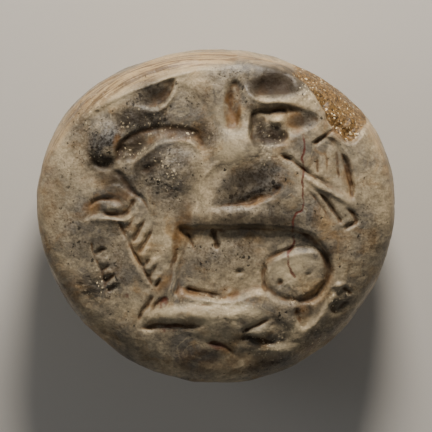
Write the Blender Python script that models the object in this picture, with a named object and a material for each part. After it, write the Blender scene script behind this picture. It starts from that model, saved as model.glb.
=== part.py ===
# Stamp seal of pale veined stone, lying on its domed back with the carved face up.
# +Z is up out of the face, +X to the right of the design and +Y to its top.
# The origin is in the middle of the small flat spot that the seal lies on.
# Sizes are in millimetres and turned to metres where the mesh is made.
import bmesh
import bpy
import numpy as np
from mathutils import Matrix

metresPerMm = 0.001

# Stone
width = 25.0             # across the design, left to right
height = 23.4            # across the design, bottom to top
thickness = 11.4         # flat spot to the top of the face
girdleHeight = 6.2       # level of the widest outline above the flat spot
faceCrown = 0.9          # rise of the face from its rim to its middle
flatSpotWidth = 9.5      # ground flat on the back, left to right
backFullness = 2.3       # 2 is an ellipse, more is a squarer dome
leftShoulder = 3.6       # roundness of the shoulder at the lower left, low is rounder
topShoulder = 13.0       # the same at the upper left, where the edge is crisp
threeCorners = 0.024     # share of the radius that three gentle corners add and the sides between lose
twoQuarters = 0.010      # share that the upper left and lower right add and the other quarters lose
heelFullness = 0.022     # share added again at the lower left, where the stone is fullest
heelAngle = 212          # degrees, anticlockwise from the right

# String hole, bored from side to side through the back
boreDiameter = 2.3
boreFloor = 2.1          # stone left between the bore and the flat spot
boreSides = 28

# Carving
carvingDepth = 0.8       # of the deepest cut
chipDepth = 0.55         # flake lost from the upper right edge
gridColumns = 250        # the design is drawn on a grid this many steps wide
gridRows = 234           # and this many steps high, with its middle at 0, 0

# Mesh
faceRings = 110          # square rings from the middle of the face to its rim
shoulderBands = 9
backBands = 11
rimShare = 0.93          # of the radius, where the rings end and the bands begin
poleShare = 0.15         # of the radius, where the bands end under the back
triangleGoal = 9300      # after the even mesh is thinned where it is smooth

# Knife cuts: points on the grid, depth as a share of carvingDepth,
# wall widths on the left and right of the cut's way in grid steps,
# and the shares of its length over which the cut runs out at either end.
cuts = {
    "horn": ([(-57, 81), (-46, 80.5), (-37.5, 86), (-33, 93), (-30, 99)], 0.62, (15, 3), (0.35, 0.25)),
    "mane arch": ([(-70, 48.5), (-66, 55.5), (-58, 61), (-49.5, 64), (-40.5, 66), (-23, 64), (-14.5, 62),
                   (-10.5, 55.5), (-9, 47), (-7, 37)], 0.62, (8, 3.4), (0.4, 0.3)),
    "shoulder pit": ([(-51, 32), (-44, 37), (-36, 42.5)], 0.5, (4.5, 2.5), (0.4, 0.4)),
    "under head": ([(-92, 50), (-86, 44), (-79, 40.5), (-74, 41)], 0.52, (6, 3.5), (0.35, 0.2)),
    "behind head": ([(-76, 41.5), (-71, 48), (-70, 56)], 0.4, (3, 3), (0.2, 0.4)),
    "throat": ([(-74, 38.5), (-64, 31), (-57, 21), (-49, 14), (-45.5, 0)], 0.62, (3.5, 3.5), (0.3, 0.3)),
    "cheek": ([(-75, 28), (-66, 26.5), (-59, 20)], 0.44, (3, 3), (0.4, 0.2)),
    "mouth": ([(-83, 8.5), (-74, 6), (-65, 7), (-59.5, 14), (-57, 19.5)], 0.48, (3, 3), (0.2, 0.2)),
    "jaw": ([(-95, 0), (-86, 5), (-75, 6), (-63, 5.5), (-56, 12)], 0.44, (24, 3), (0.3, 0.3)),
    "wing front": ([(-69, 1), (-63, -14), (-56, -30), (-43, -50)], 0.5, (3, 3), (0.2, 0.2)),
    "foreleg": ([(-23.5, 9), (-25, -3), (-28.5, -18), (-36, -50)], 0.72, (3.5, 4), (0.35, 0.15)),
    "tassel": ([(-7, -5), (-3, -11.5), (0.5, -19)], 0.5, (4, 3), (0.2, 0.25)),
    "back": ([(-3, 9.5), (9, 11.5), (23, 14.5), (37, 20), (48, 26)], 0.52, (9, 3), (0.4, 0.12)),
    "bank": ([(-42, -56), (-26, -50.5), (-9, -54), (5, -56), (19, -53.5), (30, -50)],
             0.44, (5, 15), (0.2, 0.3)),
    "foot front": ([(-57.5, -74), (-52, -63), (-46, -53)], 0.4, (3, 3), (0.4, 0.2)),
    "foot back": ([(-49, -67), (-42, -58), (-36, -52)], 0.56, (3, 3), (0.4, 0.15)),
    "foot sole": ([(-58, -76), (-42, -76.5), (-25, -75), (-8, -72.5)], 0.52, (8, 3), (0.3, 0.25)),
    "low mark one": ([(18, -75), (26, -76), (33, -72), (42, -67.5)], 0.4, (3.5, 3), (0.1, 0.5)),
    "low mark two": ([(-7, -86), (1, -87.5), (11, -93)], 0.4, (3.5, 3), (0.2, 0.4)),
    "low mark three": ([(14, -86), (22, -83.5), (32, -84.5), (44, -85)], 0.48, (4, 3), (0.15, 0.5)),
    "hind loop": ([(65, -18.5), (53, -19.5), (42, -22), (34, -30), (31.5, -40), (34, -51), (38, -68)],
                  0.56, (3, 3), (0.35, 0.4)),
    "hind foot": ([(49, -57.5), (61, -57.5), (71, -53.5), (79, -44)], 0.52, (3, 3), (0.2, 0.3)),
    "hind heel": ([(54, -61), (57, -71), (61, -77)], 0.38, (3.5, 3), (0.3, 0.4)),
    "comb spine": ([(-88, -13), (-84, -27), (-81, -35), (-78, -48)], 0.4, (3, 3), (0.25, 0.4)),
    "figure back": ([(10, 95), (9.5, 83), (11, 71), (18, 65)], 0.65, (4.5, 5), (0.3, 0.25)),
    "figure arm": ([(22, 96), (30, 90), (40, 88.5), (56, 89.5)], 0.62, (15, 3), (0.3, 0.25)),
    "figure waist": ([(27, 82), (42, 81.5), (58, 81.5), (74, 76)], 0.62, (5, 4), (0.15, 0.4)),
    "wing root": ([(38, 47.5), (50, 43.5), (64, 34), (79, 25), (94, 15.5)], 0.56, (3.5, 3), (0.2, 0.35)),
    "wing edge": ([(85, 49), (91, 37), (94, 25), (94.5, 15)], 0.48, (3, 4.5), (0.3, 0.15)),
    "tail upper": ([(61.5, 27), (70, 16.5), (78, 3), (84.5, -8)], 0.36, (2.5, 2.5), (0.3, 0.25)),
    "tail lower": ([(70, 22), (78, 12), (85, 3), (89.5, -6)], 0.62, (3, 3), (0.3, 0.1)),
    "tail end": ([(90, 9), (96.5, 1), (95, -4), (88, -7.5)], 0.52, (3, 3), (0.35, 0.15)),
}
# Feathers of the wing under the throat: foot and tip of each cut
feathers = [
    ((-60.5, -4.5), (-52, 9.5)), ((-59.5, -15), (-47.5, 3)), ((-55.5, -24), (-42.5, -4)),
    ((-52, -33.5), (-47.5, -25)), ((-48.5, -41), (-42, -28)),
]
# Teeth of the comb-like mark at the left: foot and tip of each cut
teeth = [((-86, -24.5), (-77, -19)), ((-80.5, -35), (-73, -28)),
         ((-78.5, -42.5), (-70, -36.5)), ((-76, -51), (-68.5, -46))]

# Sunk fields: closed outline on the grid, depth share, width of the sloping wall
fields = {
    "mane": ([(-28, 97), (-12, 87), (-3.5, 76), (0.5, 62), (-4, 50), (-14, 59), (-32, 67),
              (-43, 72), (-36, 83)], 0.48, 5),
    "mane hollow": ([(-70, 48.5), (-67, 57), (-58, 62.5), (-47.5, 62.5), (-40.5, 58.5), (-47.5, 51.5),
                     (-56, 44.5), (-63, 41.5), (-68.5, 40.5)], 0.42, 5),
    "under belly": ([(-26, -7.5), (15, -6.5), (54, -7.5), (70, -16), (79.5, -30), (80, -43), (71, -54),
                     (52, -58), (32, -53), (5, -55), (-15, -52), (-34, -50), (-30, -30)], 0.75, 7.5),
    "figure box": ([(25, 66), (30, 74.5), (47.5, 75), (47.5, 55), (38, 53.5), (28, 55)], 0.78, 3.5),
    "figure pocket": ([(50.5, 73), (62, 75), (71, 73), (64, 66), (51, 62)], 0.62, 4),
    "wing": ([(67, 51), (78, 58), (88, 49), (94, 34), (94.5, 16), (78, 26), (68, 32), (65, 42)], 0.28, 3.5),
    "rump": ([(41, -69), (52, -76), (52, -89), (45, -88), (42, -79)], 0.32, 5),
}
# Left standing inside the sunk field of the belly
standing = {
    "thigh": ([(37, -32), (46, -23), (63, -20.5), (73, -25), (76.5, -37), (72, -50), (54, -55),
               (40, -52), (36, -41)], 0.52, 4),
}
# Flake lost along the edge, in the same terms; its outline runs out past the rim
chipOutline = [(46, 110), (55, 103), (61.5, 96), (68.5, 88.5), (74, 79.5), (79, 69.5), (86, 60), (94, 55),
               (101, 60.5), (108, 68), (126, 76), (108, 108), (78, 124), (50, 122)]
chipWall = 4

# Soft swellings: middle, half lengths in grid steps, turn in degrees, height share
swellings = {
    "shoulder": ((-32, 37), (28, 21), -5, 0.55),
    "head": ((-80.5, 56), (14, 19), 0, 0.5),
    "muzzle": ((-73, 11), (9.5, 4.4), 0, 0.42),
    "box lump": ((39, 71.5), (8, 5), 0, 0.66),
    "hip": ((14, 53), (22, 18), 25, 0.5),
    "flank": ((19, 3.5), (46, 9), 0, 0.26),
    "foot": ((-32, -65.5), (24, 8), 4, 0.2),
    "bank": ((5, -60.5), (27, 6), -4, 0.3),
    "low lump": ((31, -78.5), (12, 5), 15, 0.28),
    "corner lump": ((87, -54), (6, 6.5), 0, 0.28),
}


def smoothLine(points, closed=False, steps=6):
    # Catmull-Rom curve through the points
    p = np.array(points, float)
    if closed:
        q = np.vstack([p[-1], p, p[0], p[1]])
    else:
        q = np.vstack([2 * p[0] - p[1], p, 2 * p[-1] - p[-2]])
    t = np.linspace(0, 1, steps, endpoint=False)[None, :, None]
    a, b, c, d = (q[k:len(q) - 3 + k][:, None, :] for k in range(4))
    curve = 0.5 * (2 * b + (c - a) * t + (2 * a - 5 * b + 4 * c - d) * t**2
                   + (3 * b - a - 3 * c + d) * t**3)
    return np.vstack([curve.reshape(-1, 2), p[:1] if closed else p[-1:]])


def ease(t):
    t = np.clip(t, 0, 1)
    return t * t * (3 - 2 * t)


def within(x, y, line, reach):
    # points close enough to the line for it to change them
    low, high = line.min(0) - reach, line.max(0) + reach
    return (x > low[0]) & (x < high[0]) & (y > low[1]) & (y < high[1])


def distanceTo(x, y, line):
    # distance to a line of short straight pieces, share of its length, and whether on its left
    start, step = line[:-1], np.diff(line, axis=0)
    length = np.hypot(*step.T)
    px, py = x[:, None] - start[:, 0], y[:, None] - start[:, 1]
    t = np.clip((px * step[:, 0] + py * step[:, 1]) / np.maximum(length**2, 1e-12), 0, 1)
    qx, qy = px - t * step[:, 0], py - t * step[:, 1]
    away = np.hypot(qx, qy)
    nearest = away.argmin(1)
    row = np.arange(len(x))
    side = step[nearest, 0] * qy[row, nearest] - step[nearest, 1] * qx[row, nearest]
    along = np.concatenate([[0], np.cumsum(length)])
    share = (along[nearest] + t[row, nearest] * length[nearest]) / along[-1]
    return away[row, nearest], share, side > 0


def isInside(x, y, line):
    crossings = np.zeros(len(x), int)
    for (x0, y0), (x1, y1) in zip(line[:-1], line[1:]):
        if y0 != y1:
            spans = (y0 > y) != (y1 > y)
            crossings += spans & (x < x0 + (x1 - x0) * (y - y0) / (y1 - y0))
    return crossings % 2 == 1


def cutDepth(x, y, points, depth, walls, runOut):
    line = smoothLine(points)
    near = within(x, y, line, max(walls))
    away, share, left = distanceTo(x[near], y[near], line)
    full = 0.15 + 0.85 * ease(share / runOut[0]) * ease((1 - share) / runOut[1])
    wall = np.where(left, *walls) * (0.45 + 0.55 * full)
    result = np.zeros_like(x)
    result[near] = depth * full * np.clip(1 - away / wall, 0, 1)**1.2
    return result


def fieldDepth(x, y, outline, depth, wall):
    line = smoothLine(outline, closed=True)
    near = within(x, y, line, wall)
    away = distanceTo(x[near], y[near], line)[0]
    signed = np.where(isInside(x[near], y[near], line), away, -away)
    result = np.zeros_like(x)
    result[near] = depth * ease(signed / wall + 0.5)
    return result


def swelling(x, y, middle, halfLengths, turn, rise):
    a = np.radians(turn)
    dx, dy = x - middle[0], y - middle[1]
    u = (dx * np.cos(a) + dy * np.sin(a)) / halfLengths[0]
    v = (dy * np.cos(a) - dx * np.sin(a)) / halfLengths[1]
    return rise * np.clip(1 - u * u - v * v, 0, 1)**1.5


def carving(x, y):
    # height added to the plain face at x, y in grid steps, in millimetres
    sunk = np.zeros_like(x)
    for field in fields.values():
        sunk = np.maximum(sunk, fieldDepth(x, y, *field))
    for field in standing.values():
        sunk -= fieldDepth(x, y, *field)
    straight = [([foot, tip], 0.45, (3, 3), (0.15, 0.4)) for foot, tip in feathers + teeth]
    cut = np.zeros_like(x)
    for stroke in list(cuts.values()) + straight:
        depth = cutDepth(x, y, *stroke)
        cut = np.maximum(cut, depth) + 0.35 * np.minimum(cut, depth)
    raised = sum(swelling(x, y, *lump) for lump in swellings.values())
    chip = chipDepth * fieldDepth(x, y, chipOutline, 1, chipWall)
    return carvingDepth * (raised - sunk - cut) - chip


def outline(angle):
    # widest outline: an oval with three gentle corners, two fuller quarters and a full heel
    heel = np.clip(np.cos(angle - np.radians(heelAngle)), 0, 1)**6
    wave = 1 + threeCorners * np.sin(3 * angle) - twoQuarters * np.sin(2 * angle) + heelFullness * heel
    return width / 2 * wave * np.cos(angle), height / 2 * wave * np.sin(angle)


def shoulderPower(angle):
    # crisp at the upper left, round at the lower left and middling at the right
    towardsTop = 0.5 + 0.5 * np.sin(angle - np.radians(35))
    return leftShoulder * (topShoulder / leftShoulder)**(towardsTop**0.9)


def aboveGirdle(share, power):
    # height over the girdle at a share of the radius, on a superellipse
    rise = thickness - faceCrown - girdleHeight
    return rise * np.clip(1 - share**power, 0, 1)**(1 / power) + faceCrown * (1 - share**2)


def stoneMesh():
    n = faceRings
    u, v = np.meshgrid(np.linspace(-1, 1, 2 * n + 1), np.linspace(-1, 1, 2 * n + 1))
    # a square grid bent to a disc: rings are squares, and angles share out each side evenly
    ring = np.maximum(np.abs(u), np.abs(v))
    safe = np.where(ring == 0, 1, ring)
    flat = np.abs(u) >= np.abs(v)
    along = np.pi / 4 * np.where(flat, v, u) / safe
    angle = np.where(flat, np.where(u >= 0, along, np.pi - along),
                     np.where(v >= 0, np.pi / 2 - along, along - np.pi / 2))
    share = ring * rimShare
    ox, oy = outline(angle)
    x, y = ox * share, oy * share
    z = girdleHeight + aboveGirdle(share, shoulderPower(angle))
    points = [np.stack([x, y, z], -1).reshape(-1, 3)]
    index = np.arange((2 * n + 1)**2).reshape(2 * n + 1, 2 * n + 1)
    quads = [np.stack([index[:-1, :-1], index[:-1, 1:], index[1:, 1:], index[1:, :-1]], -1).reshape(-1, 4)]

    # bands from the rim over the shoulder, the girdle and the domed back
    rim = np.concatenate([index[0, :-1], index[:-1, -1], index[-1, :0:-1], index[:0:-1, 0]])
    rimAngle = angle.reshape(-1)[rim]
    ox, oy = outline(rimAngle)
    power = shoulderPower(rimAngle)
    domeShare = (1 - (flatSpotWidth / width)**backFullness)**(1 / backFullness)
    domeDepth = girdleHeight / domeShare
    start = np.arccos(rimShare**(power / 2))
    last = rim
    for k in range(1, shoulderBands + backBands + 1):
        if k <= shoulderBands:
            turn = start * (1 - k / shoulderBands)
            share = np.cos(turn)**(2 / power)
            z = girdleHeight + aboveGirdle(share, power)
        else:
            turn = np.arccos(poleShare**(backFullness / 2)) * (k - shoulderBands) / backBands
            share = np.full(len(rim), np.cos(turn)**(2 / backFullness))
            z = np.full(len(rim), girdleHeight - domeDepth * np.sin(turn)**(2 / backFullness))
        points.append(np.stack([ox * share, oy * share, z], -1))
        band = np.arange(len(rim)) + sum(map(len, points[:-1]))
        quads.append(np.stack([last, band, np.roll(band, -1), np.roll(last, -1)], -1))
        last = band
    points = np.vstack(points)

    # the carving sinks what is above the girdle
    carved = points[:, 2] > girdleHeight
    x = points[carved, 0] * gridColumns / width
    y = points[carved, 1] * gridRows / height
    hold = ease((points[carved, 2] - girdleHeight) / (0.5 * (thickness - girdleHeight)))
    points[carved, 2] += carving(x, y) * hold

    # made to the named sizes, with the origin under the middle
    low, high = points.min(0), points.max(0)
    points[:, :2] = (points[:, :2] - (low + high)[:2] / 2) * (width, height) / (high - low)[:2]
    above = np.maximum(points[:, 2] - girdleHeight, 0)
    points[:, 2] += above * ((thickness - girdleHeight) / above.max() - 1)
    faces = [tuple(int(i) for i in quad) for quad in np.vstack(quads)]
    faces.append(tuple(int(i) for i in last[::-1]))
    return points * metresPerMm, faces


def stoneMaterial():
    material = bpy.data.materials.new("grey limestone")
    material.use_nodes = True
    shader = material.node_tree.nodes["Principled BSDF"]
    shader.inputs["Base Color"].default_value = (0.27, 0.22, 0.16, 1)
    shader.inputs["Roughness"].default_value = 0.45
    shader.inputs["Metallic"].default_value = 0.0
    return material


def addCutter(name, shape):
    mesh = bpy.data.meshes.new(name)
    shape.to_mesh(mesh)
    shape.free()
    cutter = bpy.data.objects.new(name, mesh)
    cutter.hide_render = True
    cutter.display_type = "WIRE"
    bpy.context.scene.collection.objects.link(cutter)
    return cutter


def groundCutter():
    # everything under the flat spot
    block = bmesh.new()
    size = 2 * width * metresPerMm
    place = Matrix.Translation((0, 0, -size / 2))
    bmesh.ops.create_cube(block, size=size, matrix=place)
    return addCutter("ground", block)


def boreCutter():
    # a rod along X, longer than the stone is wide
    rod = bmesh.new()
    radius = boreDiameter / 2 * metresPerMm
    place = Matrix.Translation((0, 0, boreFloor * metresPerMm + radius)) @ Matrix.Rotation(np.pi / 2, 4, "Y")
    bmesh.ops.create_cone(rod, cap_ends=True, segments=boreSides, radius1=radius, radius2=radius,
                          depth=2 * width * metresPerMm, matrix=place)
    return addCutter("bore", rod)


def cutWith(stone, cutter):
    boolean = stone.modifiers.new(cutter.name, "BOOLEAN")
    boolean.operation = "DIFFERENCE"
    boolean.solver = "EXACT"
    boolean.object = cutter


def buildSeal():
    points, faces = stoneMesh()
    mesh = bpy.data.meshes.new("seal")
    mesh.from_pydata(points.tolist(), [], faces)
    mesh.materials.append(stoneMaterial())
    stone = bpy.data.objects.new("seal", mesh)
    bpy.context.scene.collection.objects.link(stone)
    mesh.shade_smooth()

    triangles = sum(len(face) - 2 for face in faces)
    thin = stone.modifiers.new("thin where smooth", "DECIMATE")
    thin.ratio = triangleGoal / triangles
    cutWith(stone, groundCutter())
    cutWith(stone, boreCutter())


for thing in list(bpy.data.objects):
    bpy.data.objects.remove(thing)
buildSeal()
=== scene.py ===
# A stone stamp seal lying on its domed back, with its cut face up.
# Shapes are worked out in millimetres and turned to metres where a mesh is made.
import math
import bpy
import numpy as np
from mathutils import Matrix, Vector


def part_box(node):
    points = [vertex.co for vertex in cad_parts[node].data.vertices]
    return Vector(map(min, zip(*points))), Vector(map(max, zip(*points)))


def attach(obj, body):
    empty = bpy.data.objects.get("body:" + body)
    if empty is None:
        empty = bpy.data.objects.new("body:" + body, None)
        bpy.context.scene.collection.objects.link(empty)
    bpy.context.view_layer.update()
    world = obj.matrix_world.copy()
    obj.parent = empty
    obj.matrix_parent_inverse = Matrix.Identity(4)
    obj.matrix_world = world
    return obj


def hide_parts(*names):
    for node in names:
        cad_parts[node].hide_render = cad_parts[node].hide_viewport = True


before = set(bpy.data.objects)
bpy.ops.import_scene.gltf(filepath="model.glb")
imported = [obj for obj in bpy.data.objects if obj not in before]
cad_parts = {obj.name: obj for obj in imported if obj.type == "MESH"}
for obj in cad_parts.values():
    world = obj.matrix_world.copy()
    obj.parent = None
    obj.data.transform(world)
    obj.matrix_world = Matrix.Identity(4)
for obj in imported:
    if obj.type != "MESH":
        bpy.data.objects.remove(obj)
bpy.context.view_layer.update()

mm = 0.001  # metres
sealLow, sealHigh = (np.array(corner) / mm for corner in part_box("seal"))
sealSize = sealHigh - sealLow  # width, height of the design, thickness
print("frame loaded, seal measures", [round(float(s), 2) for s in sealSize], "mm")


def linear(hexColour):
    # sRGB hex to linear light: c / 12.92 when dark, else ((c + 0.055) / 1.055) ** 2.4
    parts = [int(hexColour[k:k + 2], 16) / 255 for k in (0, 2, 4)]
    return [c / 12.92 if c <= 0.04045 else ((c + 0.055) / 1.055) ** 2.4 for c in parts] + [1.0]


def addNode(tree, kind, output, inputs, **settings):
    # a node with its settings; an input that is given a socket is linked, any other is set
    node = tree.nodes.new("ShaderNode" + kind)
    for key, value in settings.items():
        setattr(node, key, value)
    for key, value in inputs.items():
        if isinstance(value, bpy.types.NodeSocket):
            tree.links.new(value, node.inputs[key])
        else:
            node.inputs[key].default_value = value
    return node.outputs[output]


def putObject(name, data):
    piece = bpy.data.objects.new(name, data)
    bpy.context.scene.collection.objects.link(piece)
    return piece


# The camera looks down on the seal and leans a little to the top of the design

camera = {
    "leanDegrees": 8.5,       # shows the side wall at the top as a thin band
    "pixelMm": 0.0700,        # width of one pixel at the girdle
    "framePixels": 432,
    "distance": 600.0,        # mm, far enough to look almost parallel
    "sensor": 36.0,           # mm
    "aim": (0.0, 0.0, 6.2),   # mm, the middle of the girdle
    "clip": (0.01, 10.0),     # m
}


def makeCamera(c):
    data = bpy.data.cameras.new("camera")
    data.sensor_width = c["sensor"]
    data.lens = c["sensor"] * c["distance"] / (c["pixelMm"] * c["framePixels"])
    data.clip_start, data.clip_end = c["clip"]
    viewer = putObject("camera", data)
    lean = math.radians(c["leanDegrees"])
    back = np.array([0, math.sin(lean), math.cos(lean)]) * c["distance"]
    viewer.location = (np.array(c["aim"]) + back) * mm
    viewer.rotation_euler = (-lean, 0, 0)
    bpy.context.scene.camera = viewer


makeCamera(camera)
print("camera set")


# The stone: an oval pebble with a ground face, cut with a design

stone = {
    "girdleHeight": 6.2,      # mm, level of the widest outline
    "faceCrown": 0.9,         # mm, rise of the face to its middle
    "flatSpotWidth": 9.5,     # mm
    "backFullness": 2.3,      # 2 is an ellipse
    "leftShoulder": 3.6,      # low is rounder
    "topShoulder": 13.0,
    "squarestAt": 125,        # degrees round the outline
    "squareSpread": 0.9,      # low brings the square shoulder farther round
    "threeCorners": 0.024,    # shares of the radius
    "twoQuarters": 0.010,
    "heelFullness": 0.022,
    "heelAngle": 212,
    "faceRings": 124,
    "rimShare": 0.93,         # share of the radius where the face's rings end
    "shoulderBands": 18,
    "backBands": 13,
    "boreDiameter": 2.3,      # mm
    "boreFloor": 2.1,         # mm of stone under the bore
    "boreFlare": 0.35,        # mm that a cord has worn the mouths wider
    "boreReach": 0.52,        # share of the width that the cutter reaches each way
    "gridColumns": 250,       # the design's grid across the width
    "gridRows": 234,
    "carvingDepth": 0.8,      # mm
    "carvingFade": 0.5,       # share of the rim's height in which the carving comes in
    "chipDepth": 0.55,        # mm
}
# What hand work, wear and breakage add; a pair is the strength and the size in mm of a noise
wear = {
    "wander": (0.9, 2.2),     # grid steps that the cuts stray by
    "quiver": (0.5, 0.6),
    "crackStray": (1.0, 0.45),
    "chipStray": (1.6, 0.7),
    "chipRagged": (0.5, 0.8), # mm, of the chip's lower edge
    "uneven": (0.45, 0.9),    # share of a cut's depth
    "openDepth": 0.74,        # share of the cuts' depth that the soil leaves open
    "crossing": 0.35,         # share of the shallower depth that is added where two cuts cross
    "softening": 4,           # passes of averaging over the grid of the face
    "swell": (0.085, 3.2),    # mm, the hand-ground unevenness
    "dents": (0.030, 0.9),
    "grain": (0.012, 0.25),
    "broken": (0.16, 0.55),   # crystals on the chipped edge
    "pitted": (0.10, 0.35),
    "lumpy": (0.09, 1.2),
    "striae": (0.10, 0.8),    # grinding marks round the side
    "striaeLength": 6,        # times their height
    "footFade": 0.6,          # mm over which wear comes in above the flat spot
    "sideTilt": (0.25, 0.50), # upward share of the normal where the side ends, and over which it fades
    "wallLevels": (4.6, 9.4), # mm, between which the warm colour of the rim's side comes in
    "wallFade": 130,          # grid steps over which it fades out from the top of the design down
    "hollowPasses": (8, 70),  # passes of averaging that near and wide hollows are measured against
    "soilAndShadeGains": (0.9, 9, 1.6),  # of the cuts and of near and wide hollows
    "wornAndHighlightGains": (14, 2.2),   # of near and wide edges
    "patchFlatness": 0.45,    # low is flatter in the middle
    "hair": 0.004,            # mm kept free inside the box
}
# How a cut runs out: least share of its depth and of its width at the ends, and roundness of its floor
knife = {"leastDepth": 0.15, "leastWidth": 0.45, "roundness": 0.85}

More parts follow.
